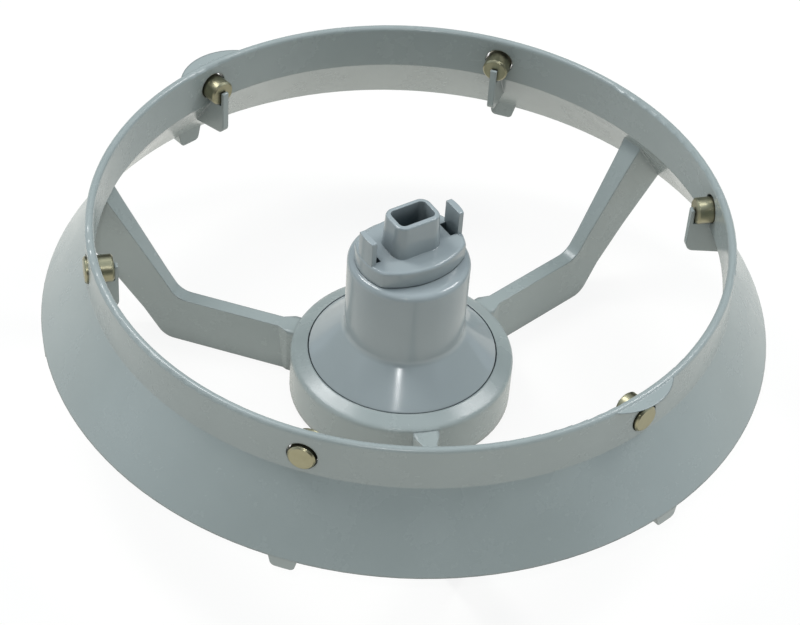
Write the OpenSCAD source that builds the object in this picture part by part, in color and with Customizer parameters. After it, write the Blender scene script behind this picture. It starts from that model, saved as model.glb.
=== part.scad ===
// Disc holder ring of a food processor: a spoked ring whose wall carries rollers
// for the rim of a turning disc, with a bell-shaped sleeve and a drive coupling at
// its centre. Millimetres, +Z up, origin on the axis, on the plane the arms stand on.

/* [Ring] */
// Outer radius of the ring at its rim
rim_r = 90; // [80:0.5:110]
// Height of the upright band between skirt and rim
band_h = 13.2; // [12.5:0.1:20]
// Thickness of the band and the skirt
wall = 2.4; // [1.8:0.1:3.2]
// How much wider the band is at its foot than at its rim, by draft
band_draft = 0.3; // [0:0.05:0.6]
// How far the skirt reaches out past the foot of the band
skirt_flare = 12.8; // [8:0.1:18]
// Height of the skirt
skirt_h = 19.9; // [16:0.1:26]
// Height of the skirt's lower edge above the plane the arms stand on
skirt_z = 34.5; // [28:0.5:42]

/* [Rollers] */
// Diameter of a roller
roller_d = 7.6; // [5:0.1:8.6]
// Length of a roller
roller_len = 7; // [6:0.1:9]
// Bevel on the ends of a roller
roller_bevel = 0.5; // [0.2:0.05:0.8]
// Depth of a roller's axis below the rim
roller_drop = 8.1; // [6.5:0.1:8.5]
// Diameter of the holes in the band
hole_d = 8.4; // [7.8:0.1:9]
// Running clearance under a roller in its hole
roller_play = 0.05; // [0.02:0.01:0.09]
// Direction of the first roller, in degrees
roller_turn = 15; // [0:1:59]

/* [Hook ribs] */
// Thickness of a hook rib
rib_t = 2; // [1.2:0.1:3]
// Thickness of the upstand that stops the inner end of a roller
hook_t = 1.05; // [0.8:0.05:1.6]
// Height of the upstand above the floor of its notch
hook_h = 4.7; // [2:0.1:6]
// End play of a roller between its upstand and the face of the band
end_play = 0.2; // [0.1:0.05:0.4]
// Height of a rib's inner edge below its notch
rib_h = 9.8; // [6:0.1:12]
// Rounding at the lower inner corner of a rib
rib_round = 2.7; // [1:0.1:4]
// Fall of a rib's lower edge towards the skirt
rib_fall = 2.7; // [0:0.1:4]

/* [Feet] */
// Width of a foot at the skirt's lower edge
foot_w = 7.8; // [5:0.1:12]
// How far a foot reaches below the skirt's lower edge
foot_h = 3.6; // [2:0.1:6]
// Radial thickness of a foot
foot_t = 4.1; // [3:0.1:6]
// Lean of the sides of a foot, in degrees
foot_lean = 12; // [0:1:20]
// Rounding at the lower corners of a foot
foot_round = 1.5; // [0.5:0.1:2]
// Setback of a foot's outer face from the skirt's edge
foot_set = 0.2; // [0.1:0.05:0.5]

/* [Lips] */
// How far a lip stands out past the rim
lip_out = 3.4; // [2:0.1:6]
// Radius of the round plan of a lip
lip_r = 16.2; // [10:0.1:24]
// Thickness of a lip
lip_t = 1.3; // [0.8:0.1:2]
// Depth of a lip's upper face below the rim
lip_drop = 0.5; // [0:0.1:1]
// Direction of the first lip, in degrees
lip_turn = -45; // [-60:1:-30]

/* [Arms] */
// Thickness of an arm at its top
arm_t = 4.3; // [3:0.1:6]
// Thickness of an arm at its lower edge
arm_foot_t = 6.2; // [4:0.1:8]
// Depth of an arm along its level stretch
arm_h = 15.2; // [11:0.1:18]
// Radius at which the lower edge of an arm bends upwards
arm_reach = 73; // [60:0.5:78]
// Radius at which the upper edge of an arm bends upwards
arm_bend = 69.6; // [58:0.1:74]
// Rounding of the two bends
arm_bend_round = 6; // [2:0.5:12]
// Depth at which the upper edge meets the skirt, below the foot of the band
arm_end_drop = 6; // [2:0.5:10]
// Thickness of an arm where it spreads into the skirt
arm_end_t = 10; // [7:0.1:13]
// Radius at which an arm starts to spread
arm_spread_r = 74; // [66:0.5:80]
// Width of the rounded root of an arm at the hub
arm_root_w = 7.4; // [6:0.1:10]
// How far the root reaches out from the hub
arm_root_l = 5; // [2:0.1:8]
// Direction of the first arm, in degrees
arm_turn = 45; // [35:1:55]

/* [Hub] */
// Outer radius of the hub
hub_r = 32.4; // [30:0.1:38]
// Height of the hub's lower edge above the plane the arms stand on
hub_lift = 2.8; // [0.5:0.1:5]
// Height of the hub's outer edge above that plane
hub_h = 15.8; // [14:0.1:18]
// Rise of the collar's upper face from its outer edge to the sleeve
collar_rise = 2; // [0.5:0.1:3]
// Rounding of the collar's outer edge
collar_round = 0.9; // [0.3:0.1:1.5]
// Thickness of the hub's walls
hub_wall = 2.2; // [1.6:0.1:2.4]
// Depth of the recess that seats the sleeve's flange
seat_depth = 2.5; // [2:0.1:4]
// Width of the ledge under the sleeve's flange
ledge_w = 2.5; // [1.6:0.1:2.6]

/* [Sleeve] */
// Radius of the sleeve's flange
flange_r = 27.45; // [26:0.05:28]
// Fit clearance around the sleeve in the hub
seat_play = 0.05; // [0.02:0.01:0.1]
// Radius of the tube at the foot of its straight part
tube_r = 16.8; // [16:0.05:19]
// How much wider the tube is at its mouth
tube_spread = 0.65; // [0:0.05:1]
// Height of the sleeve's mouth above the plane the arms stand on
mouth_z = 53.9; // [46:0.1:60]
// Radius of the mouth's opening
mouth_r = 16.05; // [15.4:0.05:16.2]
// Slope of the flare, in degrees
flare_slope = 43.5; // [38:0.5:50]
// Rounding between the flare and the tube
flare_round = 9; // [4:0.5:14]
// Rounding of the mouth's outer edge
mouth_round = 1.1; // [0.4:0.1:1.3]
// Wall of the sleeve below its mouth
sleeve_wall = 2.2; // [1.6:0.1:2.6]
// Depth of the open trough round the bearing
trough_depth = 13; // [8:0.5:20]
// Length of the spigot that enters the hub
spigot_l = 7.5; // [4:0.1:10]

/* [Coupling] */
// Radius of the coupling's shaft
shaft_r = 9; // [8:0.05:9.5]
// Radial running clearance of the shaft in its bearing
shaft_play = 0.05; // [0.02:0.01:0.09]
// Wall of the bearing tube
bearing_wall = 2; // [1.6:0.1:2.4]
// Axial clearance between the turning coupling and the sleeve
axial_play = 0.15; // [0.1:0.05:0.3]
// Half length of the oval plate
plate_a = 15.6; // [14.6:0.05:15.7]
// Half width of the oval plate
plate_b = 11.9; // [11:0.1:13]
// Radius of the long sides of the oval plate
plate_side_r = 23.3; // [20:0.1:40]
// Height of the plate's upper face above the sleeve's mouth
plate_rise = 4.1; // [3:0.1:6]
// How far the plate dips into the mouth
plate_dip = 1; // [0.5:0.1:2]
// Rounding of the plate's upper edge
plate_round = 0.9; // [0.3:0.1:1.4]
// Direction of the plate's long axis, in degrees
plate_turn = 35; // [0:1:90]
// Half length of the drive socket
socket_a = 5.7; // [5:0.1:6.2]
// Half width of the drive socket
socket_b = 3.6; // [3:0.1:4]
// Depth of the drive socket
socket_depth = 12; // [8:0.5:14]
// Corner rounding of the drive socket
socket_round = 1.6; // [0.8:0.1:2]
// Wall of the drive boss at its top
boss_wall = 1.4; // [1:0.1:1.6]
// How much thicker that wall is at the foot, by draft
boss_draft = 0.6; // [0.2:0.1:1]
// Height of the drive boss above the plate
boss_h = 10.6; // [8:0.1:13]
// Rounding of the boss's upper edge
boss_round = 0.6; // [0.2:0.1:0.8]
// Radius out to which a drive fin reaches
fin_out = 15.3; // [14.4:0.1:15.4]
// Thickness of a drive fin
fin_t = 1.9; // [1.2:0.1:2.4]
// Width of a drive fin
fin_w = 6.8; // [4:0.1:9]
// Height of a drive fin above the plate
fin_h = 7.7; // [5:0.1:9]
// Width of the slot beside a drive fin
fin_slot = 1.9; // [1.2:0.1:2.2]

/* [Shaft end] */
// Height of the shaft's lower end above the plane the arms stand on
shaft_z = 15; // [12:0.5:18]
// Radius of the round hole for the machine's spindle
spindle_r = 5; // [4:0.1:5.5]
// Depth of the round part of that hole
spindle_l = 14; // [8:0.5:18]
// Side of the square key pocket above it
key_side = 7; // [5:0.1:7.5]
// Depth of the key pocket
key_l = 10; // [6:0.5:14]
// Thickness of the retaining clip
clip_t = 1.1; // [0.8:0.1:1.6]
// How far the clip stands out past the shaft
clip_out = 2.4; // [1.6:0.1:3]
// Depth of the groove that holds the clip
groove_d = 0.9; // [0.6:0.1:1.2]
// Side clearance of the clip in its groove
clip_play = 0.05; // [0.02:0.01:0.1]
// Width of the clip's opening
clip_gap = 9; // [6:0.5:11]

/* [Hidden] */
$fn = 96;

ring_color = "#8b999d";
coupling_color = "#93a2a5";
roller_color = "#8f8a66";
clip_color = "#9a9a98";

roller_n = 6;
arm_n = 3;
lip_n = 2;
arc_steps = 8;
// Overlap by which joined features run into each other
bite = 0.4;

rim_z = skirt_z + skirt_h + band_h;
fold_z = skirt_z + skirt_h;
fold_r = rim_r + band_draft;
skirt_r = fold_r + skirt_flare;
skirt_angle = atan2(skirt_h, skirt_flare);
// Radial width of the skirt's wall, cut level
skirt_cut = wall / sin(skirt_angle);
// Height by which the inner fold lies below the outer one
fold_shift = wall * tan((90 - skirt_angle) / 2);

roller_z = rim_z - roller_drop;
hole_z = roller_z + (hole_d - roller_d) / 2 - roller_play;
notch_gap = 0.1;
notch_z = hole_z - hole_d / 2 - notch_gap;
roller_in = rim_r - roller_len;
hook_in = roller_in - end_play;
rib_in = hook_in - hook_t;

arm_end_z = fold_z - arm_end_drop;
trough_z = mouth_z - trough_depth;

seat_z = hub_h + collar_rise - seat_depth;
seat_r = flange_r + seat_play;
flange_top = hub_h + collar_rise;
ledge_r = flange_r - ledge_w;
spigot_r = ledge_r - seat_play;
tube_in = tube_r - sleeve_wall;
flare_rise = (flange_r - tube_r) * tan(flare_slope);
inner_flare_r = spigot_r - sleeve_wall;

bearing_r = shaft_r + shaft_play;
bearing_top = mouth_z - plate_dip - axial_play;
plate_z = mouth_z - plate_dip;
plate_top = mouth_z + plate_rise;
boss_top = plate_top + boss_h;
groove_z = shaft_z + 5;
bearing_z = groove_z + clip_t + 2 * clip_play + axial_play;
groove_r = shaft_r - groove_d;

// Radius of the skirt's outer face at height z
function skirt_at(z) = skirt_r - (z - skirt_z) / tan(skirt_angle);
// Radius of the middle of the skirt's wall at height z
function skirt_mid(z) = skirt_at(z) - skirt_cut / 2;

function unit(v) = v / norm(v);
function turned(v) = atan2(v[1], v[0]);
function sweep(a) = a > 180 ? a - 360 : a < -180 ? a + 360 : a;
function xy(p) = [p[0], p[1]];

// Arc of radius r that rounds the corner at p between its neighbours a and b
function corner(a, p, b, r) =
    let (u = unit(a - p), v = unit(b - p), half = acos(u * v) / 2)
    let (c = p + unit(u + v) * r / sin(half))
    let (start = turned(p + u * r / tan(half) - c), end = turned(p + v * r / tan(half) - c))
    [for (i = [0:arc_steps]) let (t = start + sweep(end - start) * i / arc_steps) c + r * [cos(t), sin(t)]];

// Outline through points [x, y] or [x, y, r], where r rounds that corner
function rounded(pts) =
    let (n = len(pts))
    [for (i = [0:n - 1]) each
        len(pts[i]) < 3 ? [xy(pts[i])]
        : corner(xy(pts[(i + n - 1) % n]), xy(pts[i]), xy(pts[(i + 1) % n]), pts[i][2])];

// Plate of thickness t with its outline in the plane of radius and height
module radial_plate(t) {
    rotate([90, 0, 0])
        linear_extrude(t, center = true)
            children();
}

// Copies n children evenly round the axis, the first in direction start
module around(n, start) {
    for (i = [0:n - 1])
        rotate(start + i * 360 / n)
            children();
}

// Section of the ring: full-round rim, upright band and flared skirt
module ring_section() {
    rim_round = wall / 2;
    translate([rim_r - rim_round, rim_z - rim_round])
        difference() {
            circle(rim_round);
            translate([-wall, -wall])
                square([2 * wall, wall]);
        }
    polygon([
        [rim_r, rim_z - rim_round],
        [fold_r, fold_z],
        [skirt_r, skirt_z],
        [skirt_r - skirt_cut, skirt_z],
        [fold_r - wall, fold_z - fold_shift],
        [rim_r - wall, rim_z - rim_round],
    ]);
}

// Space that a foot may fill: under the skirt's edge and up inside its wall
module foot_envelope() {
    face_r = skirt_r - foot_set;
    rotate_extrude()
        polygon([
            [0, skirt_z - foot_h],
            [face_r, skirt_z - foot_h],
            [face_r, skirt_z + foot_set / 2],
            [skirt_mid(fold_z), fold_z],
            [0, fold_z],
        ]);
}

module roller_hole() {
    translate([rim_r - 2 * wall, 0, hole_z])
        rotate([0, 90, 0])
            cylinder(d = hole_d, h = 3 * wall);
}

// Rib under a roller, with a notch for it and an upstand against its inner end
module hook_rib() {
    low_z = notch_z - rib_h;
    end_z = low_z - rib_fall;
    radial_plate(rib_t)
        polygon(rounded([
            [rim_r - wall / 2, notch_z],
            [hook_in, notch_z],
            [hook_in, notch_z + hook_h, 0.3],
            [rib_in, notch_z + hook_h, 0.4],
            [rib_in, low_z, rib_round],
            [skirt_mid(end_z), end_z],
            [skirt_mid(fold_z - wall), fold_z - wall],
        ]));
}

// Tab below the skirt's edge, upright on its inner face
module foot() {
    lean = tan(foot_lean);
    low = foot_w / 2 - foot_h * lean;
    high = foot_w / 2 + wall * lean;
    intersection() {
        translate([skirt_r - foot_t, 0, skirt_z - foot_h])
            rotate([90, 0, 90])
                linear_extrude(foot_t + bite)
                    polygon(rounded([
                        [-high, foot_h + wall],
                        [-low, 0, foot_round],
                        [low, 0, foot_round],
                        [high, foot_h + wall],
                    ]));
        foot_envelope();
    }
}

// Round lobe at the rim, bevelled below
module lip() {
    lip_z = rim_z - lip_drop;
    difference() {
        translate([rim_r + lip_out - lip_r, 0, lip_z - lip_t])
            cylinder(r1 = lip_r - lip_t, r2 = lip_r, h = lip_t);
        translate([0, 0, lip_z - 2 * lip_t])
            cylinder(r = rim_r - wall / 2, h = 3 * lip_t);
    }
}

// Side view of an arm: level by the hub, then rising to the skirt
module arm_side() {
    polygon(rounded([
        [hub_r - hub_wall / 2, 0],
        [arm_reach, 0, arm_bend_round],
        [skirt_r - skirt_cut, skirt_z],
        [skirt_mid(skirt_z), skirt_z],
        [skirt_mid(arm_end_z), arm_end_z],
        [skirt_at(arm_end_z) - skirt_cut, arm_end_z],
        [arm_bend, arm_h, arm_bend_round],
        [hub_r - hub_wall / 2, arm_h],
    ]));
}

// Cross-section of an arm: drafted along its level stretch, upright above
module arm_section() {
    polygon([
        [-arm_foot_t / 2, 0],
        [arm_foot_t / 2, 0],
        [arm_t / 2, arm_h - 1],
        [arm_t / 2, fold_z],
        [-arm_t / 2, fold_z],
        [-arm_t / 2, arm_h - 1],
    ]);
}

// Plan of an arm's spread into the skirt
module arm_spread() {
    polygon(rounded([
        [arm_spread_r, -arm_t / 2],
        [(arm_spread_r + skirt_r) / 2, -arm_foot_t / 2, 60],
        [skirt_r, -arm_end_t / 2],
        [skirt_r, arm_end_t / 2],
        [(arm_spread_r + skirt_r) / 2, arm_foot_t / 2, 60],
        [arm_spread_r, arm_t / 2],
    ]));
}

// Plan of an arm's rounded root at the hub
module arm_root() {
    polygon(rounded([
        [hub_r - hub_wall / 2, -arm_root_w / 2],
        [hub_r + arm_root_l / 3, -arm_root_w / 2],
        [hub_r + arm_root_l, -arm_t / 2],
        [hub_r + arm_root_l, arm_t / 2],
        [hub_r + arm_root_l / 3, arm_root_w / 2],
        [hub_r - hub_wall / 2, arm_root_w / 2],
    ]));
}

module arm() {
    intersection() {
        radial_plate(arm_end_t)
            arm_side();
        union() {
            rotate([90, 0, 90])
                linear_extrude(skirt_r)
                    arm_section();
            linear_extrude(fold_z)
                arm_spread();
            linear_extrude(arm_h)
                arm_root();
        }
    }
}

// Section of the hub: outer wall, sloping collar and the cored ring that seats the sleeve
module hub_section() {
    polygon(rounded([
        [seat_r, hub_h + collar_rise],
        [seat_r, seat_z],
        [ledge_r, seat_z],
        [ledge_r, hub_lift + hub_wall],
        [ledge_r + hub_wall - 0.4, hub_lift + hub_wall],
        [ledge_r + hub_wall, seat_z - hub_wall],
        [hub_r - hub_wall, seat_z - hub_wall],
        [hub_r - hub_wall, hub_lift],
        [hub_r, hub_lift],
        [hub_r, hub_h, collar_round],
    ]));
}

module carrier_ring() {
    color(ring_color)
        union() {
            difference() {
                union() {
                    rotate_extrude()
                        ring_section();
                    around(roller_n, roller_turn) {
                        hook_rib();
                        foot();
                    }
                    around(lip_n, lip_turn)
                        lip();
                }
                around(roller_n, roller_turn)
                    roller_hole();
            }
            around(arm_n, arm_turn)
                arm();
            rotate_extrude()
                hub_section();
        }
}

// Outer line of the sleeve, from its spigot up to the mouth
module sleeve_section() {
    web = sleeve_wall;
    polygon(rounded([
        [spigot_r, seat_z - spigot_l, 0.5],
        [spigot_r, seat_z],
        [flange_r, seat_z],
        [flange_r, flange_top, 0.5],
        [tube_r, flange_top + flare_rise, flare_round],
        [tube_r + tube_spread, mouth_z, mouth_round],
        [mouth_r, mouth_z, 0.2],
        [mouth_r - 0.3, trough_z + 1.2],
        [mouth_r - 1.4, trough_z],
        [bearing_r + bearing_wall, trough_z],
        [bearing_r + bearing_wall, bearing_top],
        [bearing_r, bearing_top],
        [bearing_r, bearing_z],
        [bearing_r + bearing_wall, bearing_z],
        [bearing_r + bearing_wall, trough_z - web],
        [tube_in, trough_z - web],
        [tube_in, flange_top + flare_rise - 0.8, flare_round],
        [inner_flare_r, flange_top - 0.9 * web, 2],
        [inner_flare_r, seat_z - spigot_l],
    ]));
}

module spindle_sleeve() {
    color(ring_color)
        rotate_extrude()
            sleeve_section();
}

// Disc of radius r whose upper edge is rounded
module rounded_disc(r) {
    rotate_extrude()
        polygon(rounded([
            [0, plate_z],
            [r, plate_z],
            [r, plate_top, plate_round],
            [0, plate_top],
        ]));
}

// Round plate cut back by two long arcs
module oval_plate() {
    intersection() {
        rounded_disc(plate_a);
        translate([0, plate_b - plate_side_r, 0])
            rounded_disc(plate_side_r);
        translate([0, plate_side_r - plate_b, 0])
            rounded_disc(plate_side_r);
    }
}

// Outline of the drive socket, grown by g on every side
module socket_outline(g) {
    a = socket_a + g;
    b = socket_b + g;
    r = socket_round + g;
    polygon(rounded([[a, b, r], [-a, b, r], [-a, -b, r], [a, -b, r]]));
}

module socket_slice(z, g) {
    translate([0, 0, z])
        linear_extrude(0.01)
            socket_outline(g);
}

// Drafted boss with a softened upper edge
module drive_boss() {
    hull() {
        socket_slice(plate_top - bite, boss_wall + boss_draft);
        socket_slice(boss_top - boss_round, boss_wall);
        socket_slice(boss_top - 0.3 * boss_round, boss_wall - 0.3 * boss_round);
        socket_slice(boss_top - 0.01, boss_wall - boss_round);
    }
}

// Upright fin near the end of the oval plate, its outer face on the plate's arc
module drive_fin() {
    fin_in = fin_out - fin_t;
    intersection() {
        translate([fin_in, 0, plate_top - bite])
            rotate([90, 0, 90])
                linear_extrude(2 * fin_t)
                    polygon(rounded([
                        [-fin_w / 2, 0],
                        [fin_w / 2, 0],
                        [fin_w / 2, fin_h + bite, 0.5],
                        [-fin_w / 2, fin_h + bite, 0.5],
                    ]));
        cylinder(r = fin_out, h = boss_top);
    }
}

module fin_slot_cut() {
    slot_w = fin_w - 1.2;
    translate([fin_out - fin_t - fin_slot, -slot_w / 2, plate_z - 1])
        cube([fin_slot, slot_w, plate_top - plate_z + 2]);
}

// Shaft with its clip groove, spindle hole and square key pocket
module shaft() {
    groove_w = clip_t + 2 * clip_play;
    difference() {
        translate([0, 0, shaft_z])
            cylinder(r = shaft_r, h = plate_z - shaft_z + bite);
        translate([0, 0, groove_z])
            difference() {
                cylinder(r = shaft_r + 1, h = groove_w);
                translate([0, 0, -1])
                    cylinder(r = groove_r, h = groove_w + 2);
            }
        translate([0, 0, shaft_z - 1])
            cylinder(r = spindle_r, h = spindle_l + 1);
        translate([-key_side / 2, -key_side / 2, shaft_z + spindle_l - bite])
            cube([key_side, key_side, key_l + bite]);
    }
}

module drive_coupling() {
    color(coupling_color)
        rotate(plate_turn)
            difference() {
                union() {
                    oval_plate();
                    drive_boss();
                    drive_fin();
                    rotate(180)
                        drive_fin();
                    shaft();
                }
                translate([0, 0, boss_top - socket_depth])
                    linear_extrude(socket_depth + 1)
                        socket_outline(0);
                fin_slot_cut();
                rotate(180)
                    fin_slot_cut();
            }
}

// Open ring that snaps into the shaft's groove
module retaining_clip() {
    clip_in = groove_r + clip_play;
    color(clip_color)
        translate([0, 0, groove_z + clip_play])
            difference() {
                cylinder(r = shaft_r + clip_out, h = clip_t);
                translate([0, 0, -1])
                    cylinder(r = clip_in, h = clip_t + 2);
                translate([0, -clip_gap / 2, -1])
                    cube([shaft_r + clip_out + 1, clip_gap, clip_t + 2]);
            }
}

// Roller number i, lying on its rib with its outer end in the band's hole
module roller(i) {
    r = roller_d / 2;
    color(roller_color)
        rotate(roller_turn + (i - 1) * 360 / roller_n)
            translate([roller_in, 0, roller_z])
                rotate([0, 90, 0])
                    rotate_extrude()
                        polygon([
                            [0, 0],
                            [r - roller_bevel, 0],
                            [r, roller_bevel],
                            [r, roller_len - roller_bevel],
                            [r - roller_bevel, roller_len],
                            [0, roller_len],
                        ]);
}

carrier_ring();
spindle_sleeve();
drive_coupling();
retaining_clip();
roller(1);  // roller_1
roller(2);  // roller_2
roller(3);  // roller_3
roller(4);  // roller_4
roller(5);  // roller_5
roller(6);  // roller_6
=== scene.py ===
import math
import bpy
from mathutils import Matrix, Vector


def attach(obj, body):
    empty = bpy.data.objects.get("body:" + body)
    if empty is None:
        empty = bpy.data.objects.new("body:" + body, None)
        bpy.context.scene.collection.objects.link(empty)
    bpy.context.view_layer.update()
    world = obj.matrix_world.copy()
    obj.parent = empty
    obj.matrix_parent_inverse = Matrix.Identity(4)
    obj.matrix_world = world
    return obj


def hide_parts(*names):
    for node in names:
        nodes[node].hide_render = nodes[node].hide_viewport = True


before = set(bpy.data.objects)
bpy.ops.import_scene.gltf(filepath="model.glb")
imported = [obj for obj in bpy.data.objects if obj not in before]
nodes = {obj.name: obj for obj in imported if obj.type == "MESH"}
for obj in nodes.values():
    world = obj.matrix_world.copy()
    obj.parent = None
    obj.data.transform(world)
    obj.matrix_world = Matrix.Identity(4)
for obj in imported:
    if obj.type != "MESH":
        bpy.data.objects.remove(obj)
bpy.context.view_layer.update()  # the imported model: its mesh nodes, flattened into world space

scene = bpy.context.scene
mm = 0.001
print("frame loaded:", len(nodes), "nodes")


# Camera at the photograph's viewing angle

camera = {
    "place": (-0.00144, -0.50697, 0.49791),
    "elevation": 42.63,  # degrees that it looks down
    "roll": 4.42,  # the photograph leans by this much
    "lens": 108.2,  # mm on a sensor 36 mm wide
}


def addCamera():
    tilt = math.radians(camera["elevation"])
    roll = math.radians(camera["roll"])
    level = Vector((1, 0, 0))
    upright = Vector((0, math.sin(tilt), math.cos(tilt)))
    back = Vector((0, -math.cos(tilt), math.sin(tilt)))
    right = level * math.cos(roll) + upright * math.sin(roll)
    up = upright * math.cos(roll) - level * math.sin(roll)
    data = bpy.data.cameras.new("photoCamera")
    data.lens = camera["lens"]
    data.sensor_width = 36
    data.clip_start = 0.01
    data.clip_end = 20
    holder = bpy.data.objects.new("photoCamera", data)
    turn = Matrix((right, up, back)).transposed().to_4x4()
    holder.matrix_world = Matrix.Translation(camera["place"]) @ turn
    scene.collection.objects.link(holder)
    scene.camera = holder


addCamera()
scene.view_settings.view_transform = "Standard"
print("camera placed")


# Colours and shader nodes

def hexToLinear(hexColour):
    parts = [int(hexColour[i:i + 2], 16) / 255 for i in (1, 3, 5)]
    low = [c / 12.92 if c <= 0.04045 else ((c + 0.055) / 1.055) ** 2.4 for c in parts]
    return (*low, 1)


# Adds one shader node; settings are attributes or input values, links are socket: source
def addNode(tree, kind, settings=None, links=None):
    node = tree.nodes.new(kind)
    for name, value in (settings or {}).items():
        if hasattr(node, name) and not name[0].isupper():
            setattr(node, name, value)
        else:
            node.inputs[name].default_value = value
    for name, source in (links or {}).items():
        tree.links.new(source, node.inputs[name])
    return node


def newMaterial(name):
    material = bpy.data.materials.new(name)
    material.use_nodes = True
    material.node_tree.nodes.clear()
    return material, material.node_tree


def finishMaterial(tree, shader):
    addNode(tree, "ShaderNodeOutputMaterial", links={"Surface": shader.outputs[0]})


# Rounds the shading at sharp edges, and more so at the hub's outer edge
def softEdge(tree, place, look):
    flat = addNode(tree, "ShaderNodeVectorMath", {"operation": "MULTIPLY"})
    flat.inputs[1].default_value = (1, 1, 0)
    tree.links.new(place, flat.inputs[0])
    fromAxis = addNode(tree, "ShaderNodeVectorMath", {"operation": "LENGTH"})
    tree.links.new(flat.outputs[0], fromAxis.inputs[0])
    fromCollar = addNode(tree, "ShaderNodeMath", {"operation": "SUBTRACT"})
    tree.links.new(fromAxis.outputs["Value"], fromCollar.inputs[0])
    fromCollar.inputs[1].default_value = look["collarAt"]
    offset = addNode(tree, "ShaderNodeMath", {"operation": "ABSOLUTE"})
    tree.links.new(fromCollar.outputs[0], offset.inputs[0])
    width = addNode(tree, "ShaderNodeMapRange", {
        "From Min": look["collarEdge"], "From Max": look["collarEdge"] + 0.5 * mm,
        "To Min": look["collarEdge"], "To Max": look["edge"]}, {"Value": offset.outputs[0]})
    return addNode(tree, "ShaderNodeBevel", {"samples": 8}, {"Radius": width.outputs[0]})


# Injection-moulded grey plastic: cloudy colour, faint grain, wiped smudges and hairline scratches
def mouldedPlastic(name, look):
    material, tree = newMaterial(name)
    place = addNode(tree, "ShaderNodeTexCoord").outputs["Object"]
    cloud = addNode(tree, "ShaderNodeTexNoise", {
        "Scale": look["cloudScale"], "Detail": 3.0}, {"Vector": place})
    tone = addNode(tree, "ShaderNodeMix", {"data_type": "RGBA"})
    tone.inputs[6].default_value = hexToLinear(look["deep"])
    tone.inputs[7].default_value = hexToLinear(look["pale"])
    tree.links.new(cloud.outputs["Fac"], tone.inputs[0])

    # Painted shade: ambient occlusion darkens the colour in deep corners and sockets
    hollow = addNode(tree, "ShaderNodeAmbientOcclusion", {"samples": 8, "Distance": look["paintedShadeReach"]})
    openToLight = addNode(tree, "ShaderNodeMapRange", {
        "From Min": 0.15, "From Max": 0.62}, {"Value": hollow.outputs["AO"]})
    paintedShadeMix = addNode(tree, "ShaderNodeMix", {"data_type": "RGBA"})
    paintedShadeMix.inputs[6].default_value = hexToLinear(look["paintedShade"])
    tree.links.new(openToLight.outputs[0], paintedShadeMix.inputs[0])
    tree.links.new(tone.outputs[2], paintedShadeMix.inputs[7])

    # Smudges left by wiping, which make the gloss uneven
    smudge = addNode(tree, "ShaderNodeTexNoise", {
        "Scale": look["smudgeScale"], "Detail": 5.0, "Roughness": 0.65}, {"Vector": place})
    gloss = addNode(tree, "ShaderNodeMapRange", {
        "From Min": 0.35, "From Max": 0.7,
        "To Min": look["gloss"][0], "To Max": look["gloss"][1]}, {"Value": smudge.outputs["Fac"]})

    # Hairline scratches: noise drawn out along one direction, cut to its crests
    drawn = addNode(tree, "ShaderNodeMapping", links={"Vector": place})
    drawn.inputs["Rotation"].default_value = (0.4, 0.3, look["scratchTurn"])
    drawn.inputs["Scale"].default_value = (90, 2600, 900)
    hair = addNode(tree, "ShaderNodeTexNoise", {"Scale": 1.0, "Detail": 1.0}, {"Vector": drawn.outputs[0]})
    crest = addNode(tree, "ShaderNodeMapRange", {
        "From Min": 0.71, "From Max": 0.76}, {"Value": hair.outputs["Fac"]})
    patch = addNode(tree, "ShaderNodeTexNoise", {"Scale": 28.0, "Detail": 2.0}, {"Vector": place})
    worn = addNode(tree, "ShaderNodeMapRange", {
        "From Min": 0.5, "From Max": 0.62}, {"Value": patch.outputs["Fac"]})
    scratch = addNode(tree, "ShaderNodeMath", {"operation": "MULTIPLY"})
    tree.links.new(crest.outputs[0], scratch.inputs[0])
    tree.links.new(worn.outputs[0], scratch.inputs[1])
    rough = addNode(tree, "ShaderNodeMath", {"operation": "MULTIPLY_ADD"})
    tree.links.new(scratch.outputs[0], rough.inputs[0])
    rough.inputs[1].default_value = 0.06  # scratches scatter the light
    tree.links.new(gloss.outputs[0], rough.inputs[2])

    # Surface: soft edges, a slow sink of the moulded walls, then grain and scratches
    edge = softEdge(tree, place, look)
    sink = addNode(tree, "ShaderNodeTexNoise", {"Scale": 55.0, "Detail": 0.0}, {"Vector": place})
    wavy = addNode(tree, "ShaderNodeBump", {
        "Strength": 0.35, "Distance": 0.00025}, {"Height": sink.outputs["Fac"], "Normal": edge.outputs[0]})
    grain = addNode(tree, "ShaderNodeTexNoise", {"Scale": 1400.0, "Detail": 2.0}, {"Vector": place})
    fine = addNode(tree, "ShaderNodeBump", {
        "Strength": 0.1, "Distance": 0.00003}, {"Height": grain.outputs["Fac"], "Normal": wavy.outputs[0]})
    cut = addNode(tree, "ShaderNodeBump", {
        "invert": True, "Strength": 0.09, "Distance": 0.00003},
        {"Height": scratch.outputs[0], "Normal": fine.outputs[0]})
    shader = addNode(tree, "ShaderNodeBsdfPrincipled", {"IOR": 1.5}, {
        "Base Color": paintedShadeMix.outputs[2], "Roughness": rough.outputs[0], "Normal": cut.outputs[0]})
    finishMaterial(tree, shader)
    return material


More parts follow.
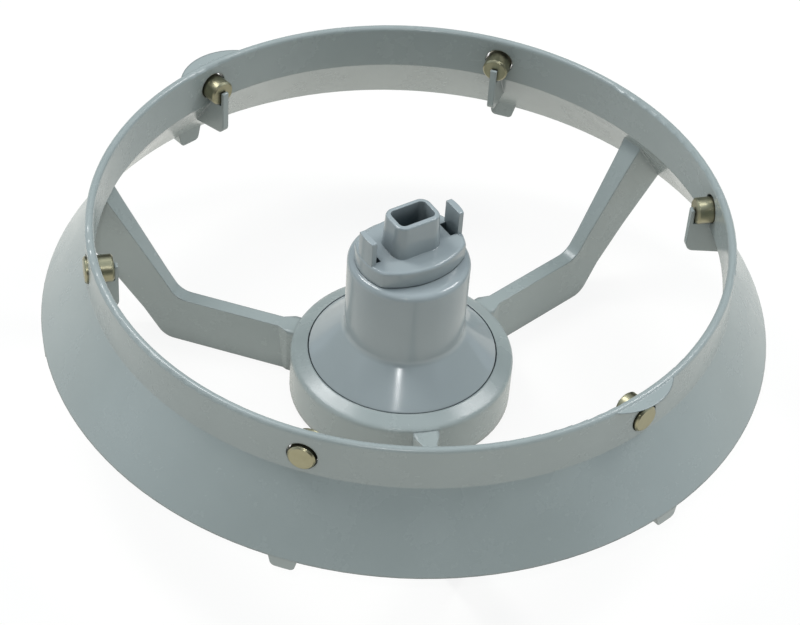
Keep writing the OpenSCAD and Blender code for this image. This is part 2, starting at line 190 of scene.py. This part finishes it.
# Turned metal: lathe rings across the axis, uneven dulling and dark spots of tarnish
def turnedMetal(name, look):
    material, tree = newMaterial(name)
    place = addNode(tree, "ShaderNodeTexCoord").outputs["Object"]
    rings = addNode(tree, "ShaderNodeTexNoise", {"Scale": 1800.0, "Detail": 2.0}, {"Vector": place})
    dull = addNode(tree, "ShaderNodeTexNoise", {"Scale": 300.0, "Detail": 4.0}, {"Vector": place})
    tone = addNode(tree, "ShaderNodeMix", {"data_type": "RGBA"})
    tone.inputs[6].default_value = hexToLinear(look["deep"])
    tone.inputs[7].default_value = hexToLinear(look["pale"])
    tree.links.new(dull.outputs["Fac"], tone.inputs[0])
    gloss = addNode(tree, "ShaderNodeMapRange", {
        "From Min": 0.3, "From Max": 0.7,
        "To Min": look["gloss"][0], "To Max": look["gloss"][1]}, {"Value": dull.outputs["Fac"]})
    edge = addNode(tree, "ShaderNodeBevel", {"samples": 4, "Radius": 0.15 * mm})
    turned = addNode(tree, "ShaderNodeBump", {
        "Strength": 0.2, "Distance": 0.00003}, {"Height": rings.outputs["Fac"], "Normal": edge.outputs[0]})
    shader = addNode(tree, "ShaderNodeBsdfPrincipled", {"Metallic": 1.0}, {
        "Base Color": tone.outputs[2], "Roughness": gloss.outputs[0], "Normal": turned.outputs[0]})
    finishMaterial(tree, shader)
    return material


def dress(node, material):
    mesh = nodes[node].data
    mesh.materials.clear()
    mesh.materials.append(material)


ringLook = {
    "deep": "#8c9492", "pale": "#9ba3a1",
    # painted shade colour and its reach, darkening deep corners and sockets
    "paintedShade": "#39454a",
    "paintedShadeReach": 11 * mm,
    "cloudScale": 32.0,  # clouds about 30 mm wide
    "smudgeScale": 70.0,
    "gloss": (0.2, 0.32),
    "scratchTurn": 0.5,
    "edge": 0.6 * mm,
    "collarAt": 32.4 * mm,  # radius of the hub's outer edge, which is rounded more
    "collarEdge": 2.2 * mm,
}
sleeveLook = dict(ringLook, deep="#8e9697", pale="#9ba3a5", gloss=(0.1, 0.18), scratchTurn=1.9,
                  collarEdge=0.6 * mm)
couplingLook = dict(sleeveLook, edge=0.35 * mm, scratchTurn=1.2)
brassLook = {"deep": "#87836a", "pale": "#aba68b", "gloss": (0.28, 0.42)}
steelLook = {"deep": "#85857f", "pale": "#a3a39d", "gloss": (0.22, 0.35)}

ringPlastic = mouldedPlastic("mouldedGreyPlastic", ringLook)
sleevePlastic = mouldedPlastic("mouldedSleevePlastic", sleeveLook)
couplingPlastic = mouldedPlastic("mouldedCouplingPlastic", couplingLook)
rollerBrass = turnedMetal("turnedBrass", brassLook)
clipSteel = turnedMetal("springSteel", steelLook)
dress("carrier_ring", ringPlastic)
dress("drive_coupling", couplingPlastic)
dress("retaining_clip", clipSteel)
rollerCount = 6
for i in range(1, rollerCount + 1):
    dress("roller_%d" % i, rollerBrass)
print("materials made")


# Section of a turned piece: points (radius, height) or (radius, height, rounding), in millimetres
def roundedSection(points, steps=8):
    smooth = []
    for i, point in enumerate(points):
        spot = Vector(point[:2])
        if len(point) < 3:
            smooth.append(spot * mm)
            continue
        before = (Vector(points[i - 1][:2]) - spot).normalized()
        after = (Vector(points[(i + 1) % len(points)][:2]) - spot).normalized()
        half = before.angle(after) / 2
        centre = spot + (before + after).normalized() * point[2] / math.sin(half)
        first = spot + before * point[2] / math.tan(half) - centre
        last = spot + after * point[2] / math.tan(half) - centre
        for j in range(steps + 1):
            smooth.append((centre + first.slerp(last, j / steps).normalized() * point[2]) * mm)
    return smooth


# Turns a section round Z; an open section is capped flat at both ends
def turnedPiece(name, section, steps, capped, material):
    size = len(section)
    points = []
    for i in range(steps):
        turn = 2 * math.pi * i / steps
        points += [(r * math.cos(turn), r * math.sin(turn), z) for r, z in section]
    faces = []
    for i in range(steps):
        here, there = i * size, (i + 1) % steps * size
        for j in range(size - 1 if capped else size):
            k = (j + 1) % size
            faces.append((here + j, there + j, there + k, here + k))
    if capped:
        faces.append([i * size for i in reversed(range(steps))])
        faces.append([i * size + size - 1 for i in range(steps)])
    mesh = bpy.data.meshes.new(name)
    mesh.from_pydata(points, [], faces)
    mesh.polygons.foreach_set("use_smooth", [True] * len(faces))
    mesh.set_sharp_from_angle(angle=math.radians(32))
    mesh.materials.append(material)
    piece = bpy.data.objects.new(name, mesh)
    scene.collection.objects.link(piece)
    return piece


# Bell-shaped sleeve with a level crown; the solid has an open trough there
sleeve = {
    "seat": 15.3,
    "spigot": (24.9, 7.8),  # radius and lower end
    "flange": (27.2, 17.8),  # radius and height; leaves the dark seam round it
    "foot": (17.35, 27.5, 3),
    "shoulder": (17.5, 52.62, 1.9),  # just clear of the turning plate
    "bearing": (9.05, 11.05, 21.35),  # bore, outside and lower end
    "inside": (15.1, 50.4),
    "innerFlare": 22.7,
}


def addSleeve():
    bore, outside, low = sleeve["bearing"]
    spigotR, spigotZ = sleeve["spigot"]
    flangeR, flangeZ = sleeve["flange"]
    insideR, roof = sleeve["inside"]
    crown = sleeve["shoulder"][1]
    section = roundedSection([
        (spigotR, spigotZ, 0.4),
        (spigotR, sleeve["seat"]),
        (flangeR, sleeve["seat"]),
        (flangeR, flangeZ, 0.4),
        sleeve["foot"],
        sleeve["shoulder"],
        (bore, crown),
        (bore, low),
        (outside, low),
        (outside, roof),
        (insideR, roof),
        (insideR, 27.1, 3),
        (sleeve["innerFlare"], 15.8, 2),
        (sleeve["innerFlare"], spigotZ),
    ])
    piece = turnedPiece("bellSleeve", section, 160, False, sleevePlastic)
    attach(piece, "carrier")
    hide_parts("spindle_sleeve")


addSleeve()
print("sleeve turned")


# Heads of the roller pins, proud of the band; the solids end flush with it
head = {
    "radius": 3.8,
    "proud": 1.0,
    "bevel": 0.45,
    "buried": 0.6,  # how far it starts inside the roller
    "axisHeight": 59.5,
    "bandRadius": 90.0,
    "firstTurn": 15,
}


def addHead(i):
    section = roundedSection([
        (head["radius"], -head["buried"]),
        (head["radius"], head["proud"] - head["bevel"]),
        (head["radius"] - head["bevel"], head["proud"]),
    ])
    piece = turnedPiece("pinHead%d" % i, section, 48, True, rollerBrass)
    turn = math.radians(head["firstTurn"] + (i - 1) * 360 / rollerCount)
    outward = Matrix.Rotation(turn, 4, "Z") @ Matrix.Rotation(math.pi / 2, 4, "Y")
    reach = head["bandRadius"]
    place = Vector((reach * math.cos(turn), reach * math.sin(turn), head["axisHeight"]))
    piece.data.transform(Matrix.Translation(place * mm) @ outward)
    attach(piece, "roller_%d" % i)


for i in range(1, rollerCount + 1):
    addHead(i)
print("pin heads added")


# White floor: near white to the camera, warm and bright to what it lights
def addFloor():
    bpy.ops.mesh.primitive_plane_add(size=6)
    floor = bpy.context.object
    floor.name = "floor"
    material, tree = newMaterial("whiteBackdrop")
    matt = addNode(tree, "ShaderNodeBsdfDiffuse", {"Color": (0.9, 0.88, 0.82, 1)})
    white = addNode(tree, "ShaderNodeEmission", {"Color": (1, 1, 1, 1), "Strength": 1.0})
    warm = addNode(tree, "ShaderNodeEmission", {"Color": (1, 0.965, 0.9, 1), "Strength": 1.0})
    path = addNode(tree, "ShaderNodeLightPath")
    glow = addNode(tree, "ShaderNodeMixShader")
    tree.links.new(path.outputs["Is Camera Ray"], glow.inputs[0])
    tree.links.new(warm.outputs[0], glow.inputs[1])
    tree.links.new(white.outputs[0], glow.inputs[2])
    share = addNode(tree, "ShaderNodeMapRange", {
        "To Min": 0.55, "To Max": 0.88}, {"Value": path.outputs["Is Camera Ray"]})
    mix = addNode(tree, "ShaderNodeMixShader")
    tree.links.new(share.outputs[0], mix.inputs[0])
    tree.links.new(matt.outputs[0], mix.inputs[1])
    tree.links.new(glow.outputs[0], mix.inputs[2])
    finishMaterial(tree, mix)
    floor.data.materials.append(material)


# Cool room, dark low down in front and bright at the sides; the camera sees plain white
room = {
    "colour": (0.78, 0.9, 1, 1),
    "skyFrom": 0.45,  # height of a direction at which the sky starts to brighten
    "sideFrom": 0.57,  # how far aside a direction points where the side light starts
    "full": 0.95,
    "dim": 0.05,
    "rearward": 0.12,  # the side light comes a little more from behind
}


def addWorld():
    world = bpy.data.worlds.new("studio")
    scene.world = world
    world.use_nodes = True
    tree = world.node_tree
    tree.nodes.clear()
    path = addNode(tree, "ShaderNodeLightPath")
    direction = addNode(tree, "ShaderNodeTexCoord").outputs["Generated"]
    axes = addNode(tree, "ShaderNodeSeparateXYZ", links={"Vector": direction})
    above = addNode(tree, "ShaderNodeMapRange", {
        "From Min": room["skyFrom"], "From Max": room["full"],
        "To Min": room["dim"]}, {"Value": axes.outputs["Z"]})
    sideways = addNode(tree, "ShaderNodeMath", {"operation": "ABSOLUTE"})
    tree.links.new(axes.outputs["X"], sideways.inputs[0])
    behind = addNode(tree, "ShaderNodeMath", {"operation": "MULTIPLY_ADD"})
    tree.links.new(axes.outputs["Y"], behind.inputs[0])
    behind.inputs[1].default_value = room["rearward"]
    tree.links.new(sideways.outputs[0], behind.inputs[2])
    aside = addNode(tree, "ShaderNodeMapRange", {
        "From Min": room["sideFrom"], "From Max": room["full"]}, {"Value": behind.outputs[0]})
    level = addNode(tree, "ShaderNodeMath", {"operation": "ADD"})
    tree.links.new(above.outputs[0], level.inputs[0])
    tree.links.new(aside.outputs[0], level.inputs[1])
    glow = addNode(tree, "ShaderNodeBackground", {"Color": room["colour"]}, {"Strength": level.outputs[0]})
    white = addNode(tree, "ShaderNodeBackground", {"Color": (1, 1, 1, 1), "Strength": 1.0})
    mix = addNode(tree, "ShaderNodeMixShader")
    tree.links.new(path.outputs["Is Camera Ray"], mix.inputs[0])
    tree.links.new(glow.outputs[0], mix.inputs[1])
    tree.links.new(white.outputs[0], mix.inputs[2])
    addNode(tree, "ShaderNodeOutputWorld", links={"Surface": mix.outputs[0]})


def addLamp(name, place, aim, size, power):
    data = bpy.data.lights.new(name, "AREA")
    data.shape = "RECTANGLE"
    data.size, data.size_y = size
    data.energy = power
    lamp = bpy.data.objects.new(name, data)
    lamp.location = place
    lamp.rotation_euler = (Vector(aim) - Vector(place)).to_track_quat("-Z", "Y").to_euler()
    scene.collection.objects.link(lamp)


addFloor()
addWorld()
centre = (0, 0, 0.04)
addLamp("leftBox", (-0.5, 0.25, 0.95), centre, (0.25, 0.4), 5)
addLamp("rightBox", (0.6, 0.28, 0.9), centre, (0.25, 0.4), 4)
addLamp("smallLamp", (-0.02, -0.53, 0.57), centre, (0.018, 0.022), 0.8)  # gives the narrow glints
print("stage set")
